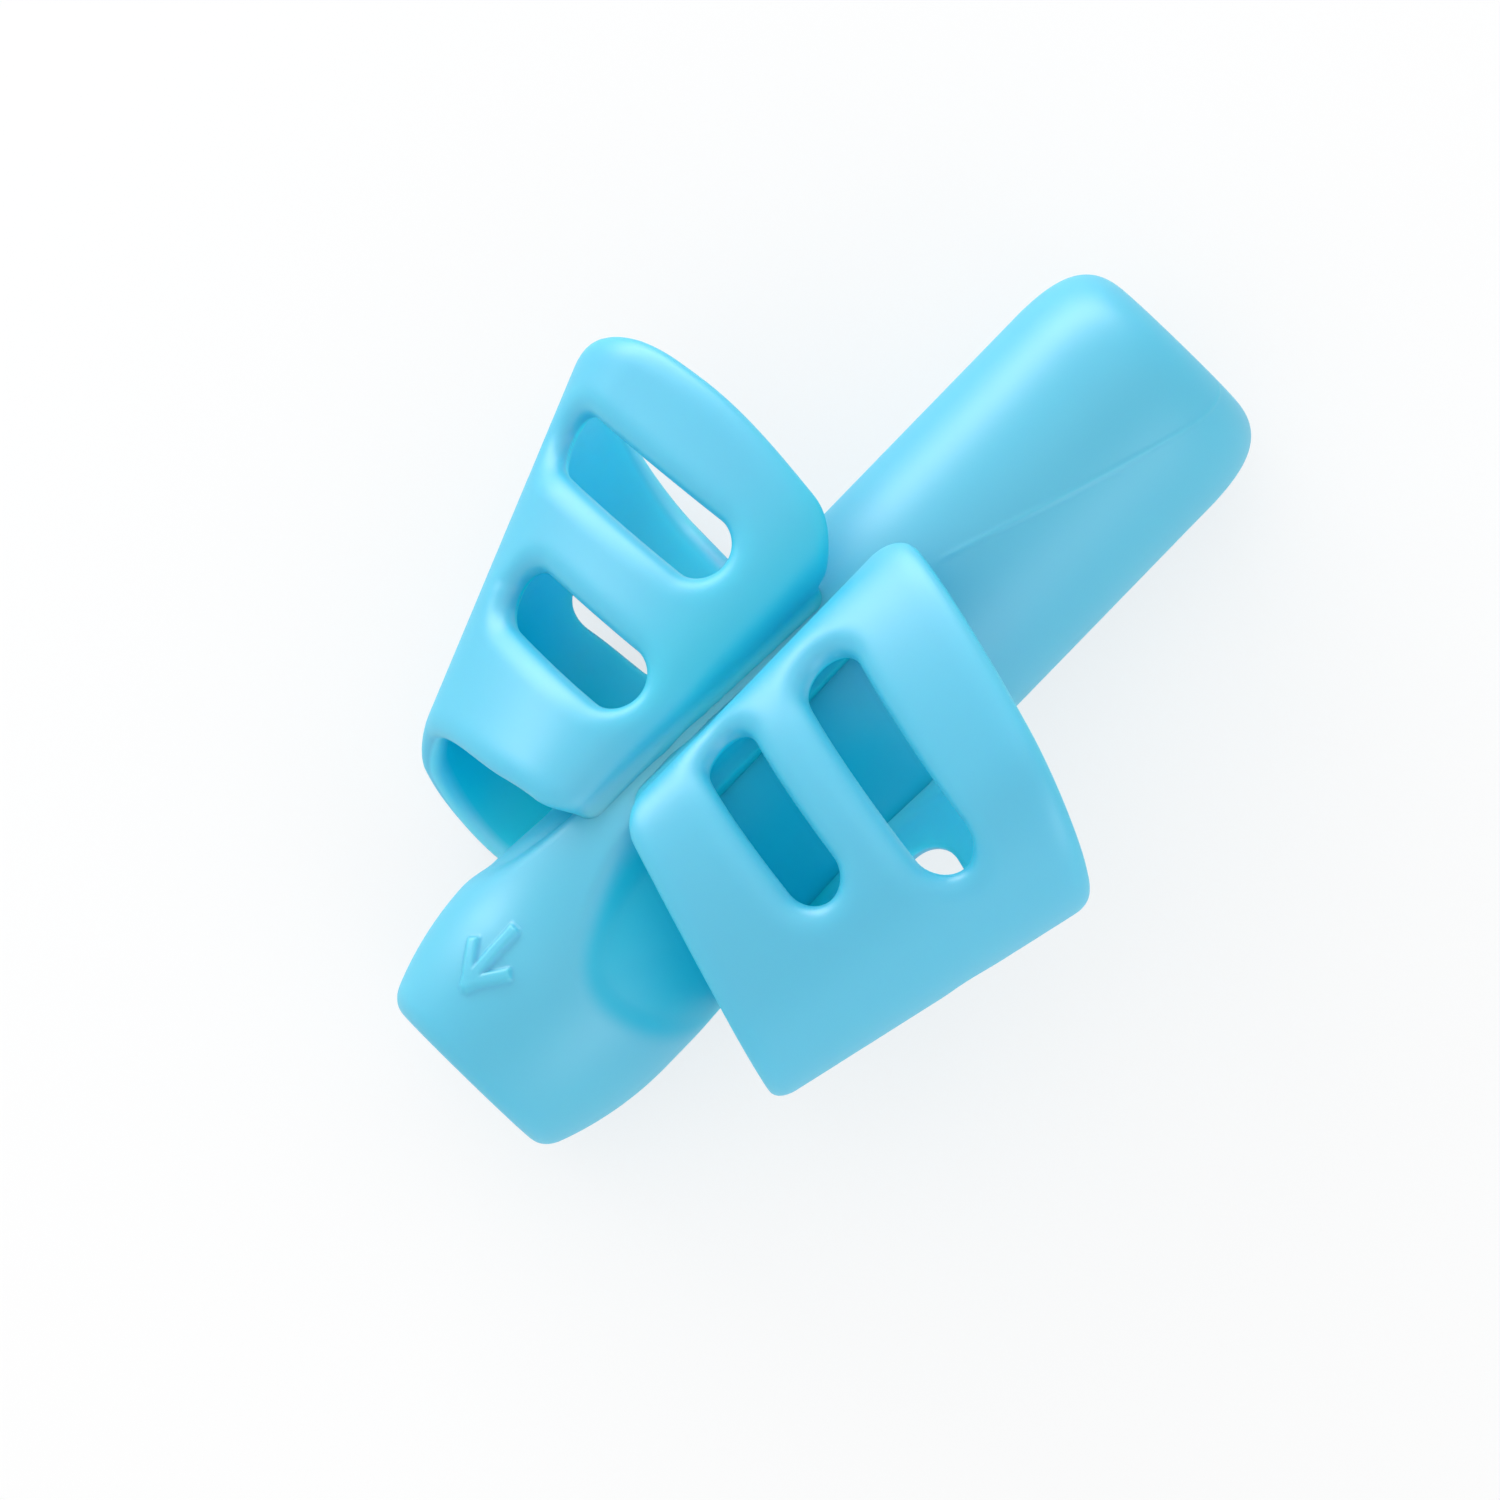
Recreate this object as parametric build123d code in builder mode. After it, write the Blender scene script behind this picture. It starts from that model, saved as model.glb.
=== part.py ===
"""Soft two-finger writing grip: a bored barrel with a finger sleeve on each side.

+X runs along the bore from the nose to the tail. The grip lies as it does on a table, on
its barrel and its index sleeve: +Z is up and +Y points to the index sleeve's side. The
origin is the bore's centre at the nose face. Sizes are in millimetres. The pieces are
drawn level first, with the spine on top, and are then rolled about the bore. The two
sleeves have the same wall, and each has its own ends and vents.
"""
import os
from math import atan2, cos, degrees, radians, sin, sqrt, tan

from build123d import *

# Barrel
LENGTH = 51.0
BORE_DIAMETER = 7.2
BARREL_DIAMETER = 13.6
NOSE_DIAMETER = 10.4
NOSE_TAPER = 7.3
NOSE_ROUND = 1.0
TAIL_ROUND = 2.2

# Spine along the top of the barrel, and the neck that spreads from it to the nose
SPINE_WIDTH = 1.1
SPINE_RISE = 1.4
SPINE_START = 14.5
SPINE_END = 16.5
NECK_START = 7.7
NECK_END = 11.4
NECK_WIDTH = 10.4
TAIL_RAMP = 16.5

# Shallow rests for the finger pads, in the barrel's sides
PAD_DEPTH = 0.8
PAD_CENTRE = 16.2
PAD_STRAIGHT = 9.6
PAD_ANGLE = 62.0
PAD_FINGER_RADIUS = 9.8

# Finger sleeves: a wall of even thickness round a tunnel that widens to the tail
WALL = 1.4
ROOT_GAP = 0.12
GROOVE_GAP = 0.15
GROOVE_DEPTH = 2.4
CREST_RADIUS = 2.2
SMALL_STATION = 8.0
LARGE_STATION = 36.0
SMALL_TIP_REACH = 1.7
LARGE_TIP_REACH = 9.0
SMALL_TIP_HEIGHT = 1.1
LARGE_TIP_HEIGHT = 5.5
SMALL_TIP_RADIUS = 4.6
LARGE_TIP_RADIUS = 7.1

# Each end of a sleeve is cut by a sloping plane: where it crosses the bore axis,
# its lean with height and its sweep with distance from the spine
INDEX_NOSE_RIM_AT = 10.25
INDEX_NOSE_RIM_LEAN = 0.25
INDEX_NOSE_RIM_SWEEP = 0.07
INDEX_TAIL_RIM_AT = 28.5
INDEX_TAIL_RIM_LEAN = 0.43
INDEX_TAIL_RIM_SWEEP = 0.03
THUMB_NOSE_RIM_AT = 13.7
THUMB_NOSE_RIM_LEAN = 0.13
THUMB_NOSE_RIM_SWEEP = 0.27
THUMB_TAIL_RIM_AT = 31.5
THUMB_TAIL_RIM_LEAN = 0.35
THUMB_TAIL_RIM_SWEEP = 0.215

# Vents: round-ended slots, two through the roof of each sleeve and one through its underside
VENT_WIDTH = 3.4
VENT_LEAN = 12.0
TAIL_VENT_OUT = 3.3
TAIL_VENT_LENGTH = 13.2
NOSE_VENT_OUT = 0.6
NOSE_VENT_LENGTH = 10.2
UNDER_VENT_OUT = 5.5
UNDER_VENT_LENGTH = 7.6
INDEX_VENT_SWEEP = 4.5
INDEX_TAIL_VENT_X = 26.6
INDEX_NOSE_VENT_X = 19.0
INDEX_UNDER_VENT_X = 21.7
THUMB_VENT_SWEEP = 12.8
THUMB_TAIL_VENT_X = 25.5
THUMB_NOSE_VENT_X = 19.6
THUMB_UNDER_VENT_X = 23.2

BORE_RADIUS = BORE_DIAMETER / 2
BARREL_RADIUS = BARREL_DIAMETER / 2
NOSE_RADIUS = NOSE_DIAMETER / 2
SPINE_RADIUS = BARREL_RADIUS + SPINE_RISE
HALF_SPINE = SPINE_WIDTH / 2
HALF_NECK = NECK_WIDTH / 2
CREST_HEIGHT = SPINE_RADIUS + GROOVE_DEPTH
GROOVE_SIDE = HALF_SPINE + GROOVE_GAP
CREST_Y = GROOVE_SIDE + CREST_RADIUS
CREST_Z = CREST_HEIGHT - CREST_RADIUS
TUNNEL_START = Vector(SMALL_STATION, BARREL_RADIUS + SMALL_TIP_REACH, SMALL_TIP_HEIGHT)
TUNNEL_END = Vector(LARGE_STATION, BARREL_RADIUS + LARGE_TIP_REACH, LARGE_TIP_HEIGHT)
TUNNEL_RUN = TUNNEL_END - TUNNEL_START
TUNNEL_TAPER = atan2(LARGE_TIP_RADIUS - SMALL_TIP_RADIUS, TUNNEL_RUN.length)
CONE_OVERRUN = 3.0
STATIONS = 5
TOUCH_STEPS = 400
TOUCH_SPAN = 1.6
ROUND_BITE = 0.03
SPINE_FOOT = (BORE_RADIUS + BARREL_RADIUS) / 2
SUNK_END = 1.0
CUT_DEPTH = 3.6


def tip_touch(x, angle, inset):
    """Where a line facing angle touches the tip cone's section at x: (how far out, y, z).

    The cone is taken as a row of balls along its axis, and the ball that reaches farthest wins.
    """
    best = (-1e9, 0, 0)
    for step in range(TOUCH_STEPS + 1):
        share = TOUCH_SPAN * step / TOUCH_STEPS - (TOUCH_SPAN - 1) / 2
        ball = TUNNEL_START + TUNNEL_RUN * share
        tip_r = SMALL_TIP_RADIUS + share * (LARGE_TIP_RADIUS - SMALL_TIP_RADIUS)
        radius = (tip_r - inset) * cos(TUNNEL_TAPER)
        room = radius ** 2 - (x - ball.X) ** 2
        if room > 0:
            y = ball.Y + sqrt(room) * cos(angle)
            z = ball.Z + sqrt(room) * sin(angle)
            best = max(best, (y * cos(angle) + z * sin(angle), y, z))
    return best


def sleeve_section(x, inset):
    """Corners of a sleeve's section at x, moved in by inset, without its rounds.

    The roof is the line that touches both the crest round and the tip cone: its direction is
    found by halving a range of angles. The lines end just inside the rounds.
    """
    crest_r = CREST_RADIUS - inset
    roof_r = crest_r - ROUND_BITE
    bitten = inset + ROUND_BITE
    low, high = radians(40), radians(150)
    for _ in range(30):
        angle = (low + high) / 2
        if tip_touch(x, angle, bitten)[0] > CREST_Y * cos(angle) + CREST_Z * sin(angle) + roof_r:
            low = angle
        else:
            high = angle
    under = tip_touch(x, radians(-90), bitten)
    middle = TUNNEL_START + TUNNEL_RUN * ((x - SMALL_STATION) / (LARGE_STATION - SMALL_STATION))
    return [
        (CREST_Y - crest_r, under[2]),
        (CREST_Y - crest_r, CREST_Z),
        (CREST_Y, CREST_Z),
        (CREST_Y + roof_r * cos(angle), CREST_Z + roof_r * sin(angle)),
        tip_touch(x, angle, bitten)[1:],
        (middle.Y, middle.Z),
        under[1:],
    ]


def lie_angle():
    """Roll about the bore, in degrees, that brings the index sleeve down level with the barrel.

    The sleeve meets the table where the tail rim cuts its underside.
    """
    low, high = 0, radians(60)
    x = INDEX_TAIL_RIM_AT
    for _ in range(24):
        roll = (low + high) / 2
        for _ in range(6):
            reach, y, z = tip_touch(x, roll - radians(90), 0)
            x = INDEX_TAIL_RIM_AT + INDEX_TAIL_RIM_LEAN * z - INDEX_TAIL_RIM_SWEEP * y
        if reach > BARREL_RADIUS:
            high = roll
        else:
            low = roll
    return degrees(roll)


def rim_plane(at, lean, sweep):
    """Plane of a sleeve's end, from where it crosses the bore axis, its lean and its sweep."""
    return Plane(origin=(at, 0, 0), z_dir=(1, sweep, -lean))


def vent_plane(x, y, z, sweep_angle):
    """Sketch plane of a vent at a point on a sleeve: local x runs out along the vent."""
    sweep = radians(sweep_angle)
    lean = radians(VENT_LEAN)
    pull = Vector(-sin(lean), 0, cos(lean))
    run = Vector(-sin(sweep) * cos(lean), cos(sweep), -sin(sweep) * sin(lean))
    return Plane(origin=(x, y, z), x_dir=run, z_dir=pull)


os.makedirs("parts", exist_ok=True)

with BuildPart() as level_barrel:
    with BuildSketch(Plane.XZ) as barrel_profile:
        with BuildLine():
            Line((0, NOSE_RADIUS), (0, BORE_RADIUS))
            Line((0, BORE_RADIUS), (LENGTH, BORE_RADIUS))
            Line((LENGTH, BORE_RADIUS), (LENGTH, BARREL_RADIUS))
            Line((LENGTH, BARREL_RADIUS), (NOSE_TAPER, BARREL_RADIUS))
            TangentArc((NOSE_TAPER, BARREL_RADIUS), (0, NOSE_RADIUS), tangent=(-1, 0))
        make_face()
        fillet(barrel_profile.vertices().sort_by_distance((0, NOSE_RADIUS))[0], NOSE_ROUND)
        fillet(barrel_profile.vertices().sort_by_distance((LENGTH, BARREL_RADIUS))[0], TAIL_ROUND)
    revolve(axis=Axis.X)

    # finger pads: cut by a round bar with ball ends, as thick as a finger
    pad_line = BARREL_RADIUS + PAD_FINGER_RADIUS - PAD_DEPTH
    pad_end = PAD_STRAIGHT / 2
    for side in (1, -1):
        pad_y = side * pad_line * sin(radians(PAD_ANGLE))
        pad_z = pad_line * cos(radians(PAD_ANGLE))
        with BuildSketch(Plane(origin=(PAD_CENTRE, pad_y, pad_z), x_dir=(1, 0, 0), z_dir=(0, -1, 0))):
            with BuildLine():
                Line((-pad_end - PAD_FINGER_RADIUS, 0), (pad_end + PAD_FINGER_RADIUS, 0))
                TangentArc((pad_end, PAD_FINGER_RADIUS), (pad_end + PAD_FINGER_RADIUS, 0), tangent=(1, 0))
                Line((pad_end, PAD_FINGER_RADIUS), (-pad_end, PAD_FINGER_RADIUS))
                TangentArc((-pad_end, PAD_FINGER_RADIUS), (-pad_end - PAD_FINGER_RADIUS, 0), tangent=(-1, 0))
            make_face()
        revolve(axis=Axis((PAD_CENTRE, pad_y, pad_z), (1, 0, 0)), mode=Mode.SUBTRACT)

    # spine and neck: a round-topped body, kept only inside their outline seen from above
    nose_slope = SPINE_RISE / (SPINE_START - NECK_START)
    tail_slope = SPINE_RISE / TAIL_RAMP
    nose_x = NECK_START - SUNK_END
    tail_x = SPINE_END + TAIL_RAMP + SUNK_END
    with BuildSketch(Plane.XZ, mode=Mode.PRIVATE) as spine_rise:
        with BuildLine():
            Polyline(
                (nose_x, SPINE_FOOT),
                (tail_x, SPINE_FOOT),
                (tail_x, BARREL_RADIUS - tail_slope * SUNK_END),
                (SPINE_END, SPINE_RADIUS),
                (SPINE_START, SPINE_RADIUS),
                (nose_x, BARREL_RADIUS - nose_slope * SUNK_END),
                close=True,
            )
        make_face()
    with BuildSketch(Plane.XY, mode=Mode.PRIVATE) as spine_plan:
        with BuildLine():
            TangentArc((NECK_END, HALF_SPINE), (nose_x, HALF_NECK), tangent=(-1, 0))
            Line((nose_x, HALF_NECK), (nose_x, -HALF_NECK))
            TangentArc((NECK_END, -HALF_SPINE), (nose_x, -HALF_NECK), tangent=(-1, 0))
            Line((NECK_END, HALF_SPINE), (tail_x, HALF_SPINE))
            Line((tail_x, HALF_SPINE), (tail_x, -HALF_SPINE))
            Line((tail_x, -HALF_SPINE), (NECK_END, -HALF_SPINE))
        make_face()
    spine_body = revolve(spine_rise.sketch, axis=Axis.X, mode=Mode.PRIVATE)
    spine_blade = extrude(spine_plan.sketch, amount=SPINE_RADIUS, dir=(0, 0, 1), mode=Mode.PRIVATE)
    add(spine_body & spine_blade)

with BuildPart() as uncut_sleeve:
    across = TUNNEL_RUN.cross(Vector(0, 0, 1))
    tunnel_plane = Plane(origin=TUNNEL_START, x_dir=TUNNEL_RUN, z_dir=across)
    for inset, mode in ((0, Mode.ADD), (WALL, Mode.SUBTRACT)):
        # straight-sided block from the groove to the tip
        for station in range(STATIONS):
            x = SMALL_STATION + station * (LARGE_STATION - SMALL_STATION) / (STATIONS - 1)
            with BuildSketch(Plane.YZ.offset(x)):
                with BuildLine():
                    Polyline(*sleeve_section(x, inset), close=True)
                make_face()
        loft(ruled=True, mode=mode)
        # round crest beside the groove
        with BuildSketch(Plane.YZ.offset(SMALL_STATION)):
            with Locations((CREST_Y, CREST_Z)):
                Circle(CREST_RADIUS - inset)
        extrude(amount=LARGE_STATION - SMALL_STATION, mode=mode)
        # cone round the tunnel, run out past both stations
        run = TUNNEL_RUN.length
        small_r = SMALL_TIP_RADIUS - inset - CONE_OVERRUN * tan(TUNNEL_TAPER)
        large_r = LARGE_TIP_RADIUS - inset + CONE_OVERRUN * tan(TUNNEL_TAPER)
        with BuildSketch(tunnel_plane):
            with BuildLine():
                Polyline(
                    (-CONE_OVERRUN, 0),
                    (run + CONE_OVERRUN, 0),
                    (run + CONE_OVERRUN, large_r),
                    (-CONE_OVERRUN, small_r),
                    close=True,
                )
            make_face()
        revolve(axis=Axis(TUNNEL_START, TUNNEL_RUN), mode=mode)

    # the barrel passes through, with room for the sleeve to turn round it
    with BuildSketch(Plane.YZ.offset(SMALL_STATION)):
        Circle(BARREL_RADIUS + ROOT_GAP)
    extrude(amount=LARGE_STATION - SMALL_STATION, mode=Mode.SUBTRACT)

level_sleeves = []
for nose_rim, tail_rim, vent_sweep, tail_vent_x, nose_vent_x, under_vent_x in (
    (
        rim_plane(INDEX_NOSE_RIM_AT, INDEX_NOSE_RIM_LEAN, INDEX_NOSE_RIM_SWEEP),
        rim_plane(INDEX_TAIL_RIM_AT, INDEX_TAIL_RIM_LEAN, INDEX_TAIL_RIM_SWEEP),
        INDEX_VENT_SWEEP,
        INDEX_TAIL_VENT_X,
        INDEX_NOSE_VENT_X,
        INDEX_UNDER_VENT_X,
    ),
    (
        rim_plane(THUMB_NOSE_RIM_AT, THUMB_NOSE_RIM_LEAN, THUMB_NOSE_RIM_SWEEP),
        rim_plane(THUMB_TAIL_RIM_AT, THUMB_TAIL_RIM_LEAN, THUMB_TAIL_RIM_SWEEP),
        THUMB_VENT_SWEEP,
        THUMB_TAIL_VENT_X,
        THUMB_NOSE_VENT_X,
        THUMB_UNDER_VENT_X,
    ),
):
    with BuildPart() as level_sleeve:
        add(uncut_sleeve.part)
        split(bisect_by=nose_rim, keep=Keep.TOP)
        split(bisect_by=tail_rim, keep=Keep.BOTTOM)
        under_z = tip_touch(under_vent_x, radians(-90), 0)[2]
        for vent_x, vent_out, vent_z, vent_length in (
            (tail_vent_x, TAIL_VENT_OUT, CREST_HEIGHT, TAIL_VENT_LENGTH),
            (nose_vent_x, NOSE_VENT_OUT, CREST_HEIGHT, NOSE_VENT_LENGTH),
            (under_vent_x, UNDER_VENT_OUT, under_z, UNDER_VENT_LENGTH),
        ):
            with BuildSketch(vent_plane(vent_x, BARREL_RADIUS + vent_out, vent_z, vent_sweep)):
                SlotOverall(vent_length, VENT_WIDTH)
            extrude(amount=CUT_DEPTH, both=True, mode=Mode.SUBTRACT)
    level_sleeves.append(level_sleeve.part)

# laid down: the grip rolls on its barrel until the index sleeve meets the table
LIE_ANGLE = lie_angle()
with BuildPart() as barrel:
    add(level_barrel.part, rotation=(-LIE_ANGLE, 0, 0))
with BuildPart() as index_sleeve:
    add(level_sleeves[0], rotation=(-LIE_ANGLE, 0, 0))
with BuildPart() as thumb_sleeve:
    add(level_sleeves[1].mirror(Plane.XZ), rotation=(-LIE_ANGLE, 0, 0))

barrel.part.label = "barrel"
export_step(barrel.part, "parts/barrel.step")
index_sleeve.part.label = "index_sleeve"
export_step(index_sleeve.part, "parts/index_sleeve.step")
thumb_sleeve.part.label = "thumb_sleeve"
export_step(thumb_sleeve.part, "parts/thumb_sleeve.step")
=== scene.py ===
import bpy
import numpy as np
from mathutils import Matrix, Vector
from mathutils.geometry import delaunay_2d_cdt


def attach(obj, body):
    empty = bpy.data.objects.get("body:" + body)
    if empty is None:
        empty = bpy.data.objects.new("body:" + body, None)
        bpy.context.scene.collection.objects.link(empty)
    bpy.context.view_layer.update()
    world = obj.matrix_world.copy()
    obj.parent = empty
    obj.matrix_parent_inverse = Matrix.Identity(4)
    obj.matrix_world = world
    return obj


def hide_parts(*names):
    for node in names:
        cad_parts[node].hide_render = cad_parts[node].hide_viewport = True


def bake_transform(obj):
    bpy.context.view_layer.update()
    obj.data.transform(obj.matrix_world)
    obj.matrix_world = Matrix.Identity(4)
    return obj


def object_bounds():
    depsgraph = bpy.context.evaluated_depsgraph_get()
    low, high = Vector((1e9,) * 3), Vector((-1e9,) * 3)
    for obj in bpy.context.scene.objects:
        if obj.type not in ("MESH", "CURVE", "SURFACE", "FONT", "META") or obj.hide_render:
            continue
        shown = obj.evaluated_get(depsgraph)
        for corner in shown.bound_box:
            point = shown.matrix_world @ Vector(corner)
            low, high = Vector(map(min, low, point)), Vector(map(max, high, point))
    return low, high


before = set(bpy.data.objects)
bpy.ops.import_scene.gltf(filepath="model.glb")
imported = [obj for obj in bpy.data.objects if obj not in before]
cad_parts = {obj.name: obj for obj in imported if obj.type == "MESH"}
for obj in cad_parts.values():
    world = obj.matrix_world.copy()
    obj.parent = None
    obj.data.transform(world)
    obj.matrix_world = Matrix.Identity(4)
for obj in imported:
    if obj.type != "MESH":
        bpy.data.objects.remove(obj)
cad_low, cad_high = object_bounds()
bpy.context.scene.view_settings.view_transform = "Standard"


# The barrel: a thick-walled tube of soft silicone that is pushed onto a shaft. Its nose tapers, its
# tail is rounded, and a spine along its top spreads into a neck in front of the two dished finger
# pads. An arrow stands proud of the nose, and a fine line left by the mould crosses the tail.
MM = 0.001
ROLL = np.radians(19.005)
# sizes in millimetres with the spine straight up, turns in degrees from the spine
LENGTH = 51.0
BORE_R = 3.6
BARREL_R = 6.8
NOSE_TAPER_X = 7.3
NOSE_CURVE_R = 17.45
NOSE_CAP = ((1.0, 5.62), (0.45, 5.42), (0.0, 5.0), (0.0, 4.4))
TAIL_CAP = ((46.6, 6.8), (49.1, 6.75), (50.8, 6.2), (51.0, 4.2))
BORE_LIP = 0.3
SPINE_RISE = 1.4
NECK_X = (6.4, 15.0)
NECK_TURN = (45.0, 110.0)
SPINE_FADE_X = (15.0, 33.5)
PAD_EDGE = (
    (1.35, 60), (1.35, 45), (1.35, 30), (1.35, 18), (1.4, 13.8), (1.95, 11.1), (3.4, 7.8),
    (5.85, 6.7), (9.6, 7.6), (14.2, 9.6), (18.0, 13.5), (21.4, 19.0), (23.0, 25.0), (25.0, 31.0),
)
PAD_STEP = 0.25
PAD_DISH = 0.35
PAD_DISH_WIDTH = 7.0
PAD_FADE_X = (21.0, 29.0)
PAD_FADE_TURN = (95.0, 145.0)
PAD_EDGE_WIDTH = 2.0
PAD_EDGE_START = 0.3
SWELL = 0.55
SWELL_X = (12.0, 15.0, 26.0, 30.0)
SWELL_TURN = (65.0, 100.0, 125.0, 148.0)
ARROW_TIP_X = 3.4
ARROW_TAIL_X = 7.1
ARROW_BARB = (1.5, 1.9)
ARROW_HALF_WIDTH = 0.31
ARROW_EDGE = 0.22
ARROW_RISE = 0.24
MOULD_LINE_X = (35.1, 50.5)
MOULD_LINE_TURN = (-21.5, -65.0)
MOULD_LINE_HALF_WIDTH = 0.2
MOULD_LINE_RISE = 0.07
MOULD_LINE_FADE = 2.0
# where the painted shade under the sleeves lies on the barrel's pads
COVER_EDGE_WIDTH = 1.1
COVER_X = (6.0, 15.0, 23.0, 34.0)
COVER_INDEX_X = (10.0, 15.0)
COVER_FIRST = 0.6
COVER_TURN_X = (9.0, 14.0)
COVER_TURN = (135.0, 98.0)
COVER_TURN_FADE = 18.0


def ease(share):
    """Smooth step from 0 to 1: three squares less two cubes of the share, held at both ends."""
    share = np.clip(share, 0, 1)
    return share * share * (3 - 2 * share)


def laid(points):
    """Level millimetres into the row frame: rolled about the bore onto the index sleeve, in metres."""
    x, y, z = np.moveaxis(np.asarray(points, float), -1, 0)
    rolled = (x, y * np.cos(ROLL) + z * np.sin(ROLL), z * np.cos(ROLL) - y * np.sin(ROLL))
    return MM * np.stack(rolled, axis=-1)


def bezier(points, count):
    """Cubic through two ends with two handles: the four points weighted by Bernstein's cubics."""
    t = np.linspace(0, 1, count)[:, None]
    a, b, c, d = np.array(points)
    return a * (1 - t) ** 3 + 3 * b * t * (1 - t) ** 2 + 3 * c * t ** 2 * (1 - t) + d * t ** 3


def b_spline(points, count):
    """Smooth curve led by a row of points: each stretch weighs four of them as a cubic B-spline does."""
    points = np.array(points)
    place = np.linspace(0, len(points) - 3 - 1e-9, count)
    first = place.astype(int)
    t = (place - first)[:, None]
    weights = ((1 - t) ** 3, 3 * t ** 3 - 6 * t ** 2 + 4, 3 * (t + t ** 2 - t ** 3) + 1, t ** 3)
    return sum(w * points[first + k] for k, w in enumerate(weights)) / 6


def rise_and_fall(value, knots):
    """Smooth step up between the first two knots and down again between the last two."""
    a, b, c, d = knots
    return ease((value - a) / (b - a)) * (1 - ease((value - c) / (d - c)))


def pad_depth_in(x, turn):
    """Distance in from the pad's edge, to the nearest stretch of its curve, and below 0 outside it."""
    curve = b_spline(PAD_EDGE, 64)
    start, run = curve[:-1], np.diff(curve, axis=0)
    off_arc = np.radians(np.abs(turn))[..., None] * BARREL_R - start[:, 0]
    off_x = np.asarray(x)[..., None] - start[:, 1]
    share = np.clip((off_arc * run[:, 0] + off_x * run[:, 1]) / (run ** 2).sum(axis=1), 0, 1)
    off_arc = off_arc - share * run[:, 0]
    off_x = off_x - share * run[:, 1]
    near = np.hypot(off_arc, off_x).argmin(axis=-1)[..., None]
    off_arc = np.take_along_axis(off_arc, near, -1)[..., 0]
    off_x = np.take_along_axis(off_x, near, -1)[..., 0]
    run = run[near[..., 0]]
    return np.hypot(off_arc, off_x) * np.sign(run[..., 0] * off_x - run[..., 1] * off_arc)


def stroke(across, along, start, end):
    """Distance from points of the unrolled surface to a straight, square-ended stroke's middle line."""
    start, end = np.array(start), np.array(end)
    length = np.hypot(*(end - start))
    ahead = (end - start) / length
    forward = (across - start[0]) * ahead[0] + (along - start[1]) * ahead[1]
    beside = np.abs((across - start[0]) * ahead[1] - (along - start[1]) * ahead[0])
    past = np.maximum(-forward - ARROW_HALF_WIDTH, forward - length)
    return np.maximum(beside, past + ARROW_HALF_WIDTH)


def barrel_radius(x, turn):
    """Outside radius at x and at an angle in degrees from the spine.

    The tube tapers on an arc to the nose. Outside the pads' edge the neck and spine are added, and
    inside it a step and a deepening dish are taken off. Below the pads the sides swell a little, where
    the sleeves' undersides join. Smooth steps lie between them all.
    """
    short = np.clip(NOSE_TAPER_X - x, 0, NOSE_TAPER_X)
    tube = BARREL_R - NOSE_CURVE_R + np.sqrt(NOSE_CURVE_R ** 2 - short ** 2)
    inside = pad_depth_in(x, turn)
    in_pad = ease(inside / PAD_EDGE_WIDTH + PAD_EDGE_START)
    rise = SPINE_RISE * ease((x - NECK_X[0]) / (NECK_X[1] - NECK_X[0]))
    rise = rise * (1 - ease((np.abs(turn) - NECK_TURN[0]) / (NECK_TURN[1] - NECK_TURN[0])))
    rise = rise * (1 - ease((x - SPINE_FADE_X[0]) / (SPINE_FADE_X[1] - SPINE_FADE_X[0])))
    dish = PAD_STEP * in_pad + PAD_DISH * ease(inside / PAD_DISH_WIDTH)
    dish = dish * (1 - ease((x - PAD_FADE_X[0]) / (PAD_FADE_X[1] - PAD_FADE_X[0])))
    dish = dish * (1 - ease((np.abs(turn) - PAD_FADE_TURN[0]) / (PAD_FADE_TURN[1] - PAD_FADE_TURN[0])))
    swell = SWELL * rise_and_fall(x, SWELL_X) * rise_and_fall(np.abs(turn), SWELL_TURN)
    return tube + rise * (1 - in_pad) - dish + swell


def barrel_marks(x, turn):
    """Height of the arrow and of the mould line above the barrel, from the distance to their strokes."""
    across = np.radians(turn) * barrel_radius(x, turn)
    tip = (0.0, ARROW_TIP_X)
    near = stroke(across, x, tip, (0.0, ARROW_TAIL_X))
    for side in (-1, 1):
        barb = (side * ARROW_BARB[0], ARROW_TIP_X + ARROW_BARB[1])
        near = np.minimum(near, stroke(across, x, tip, barb))
    arrow = ARROW_RISE * (1 - ease((near - ARROW_HALF_WIDTH) / ARROW_EDGE + 0.5))
    line_turn = np.interp(x, MOULD_LINE_X, MOULD_LINE_TURN)
    beside = np.abs(np.radians(turn - line_turn)) * BARREL_R
    line = MOULD_LINE_RISE * (1 - ease(beside / MOULD_LINE_HALF_WIDTH))
    return arrow + line * ease((x - MOULD_LINE_X[0]) / MOULD_LINE_FADE + 0.5)


# the silicone's own colour, then painted shade for the walls' insides, painted light where daylight
# would come in, painted shade for covered places, and the gloss left in the painted shade
SKIN_COLOR = np.array([0.028, 0.500, 0.700])
INSIDE_SHADE_COLOR = np.array([0.002, 0.650, 0.790])
PAINTED_LIGHT_COLOR = np.array([0.110, 0.760, 0.960])
COVERED_SHADE_COLOR = np.array([0.002, 0.530, 0.730])
SHADE_GLOSS = 0.15


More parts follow.
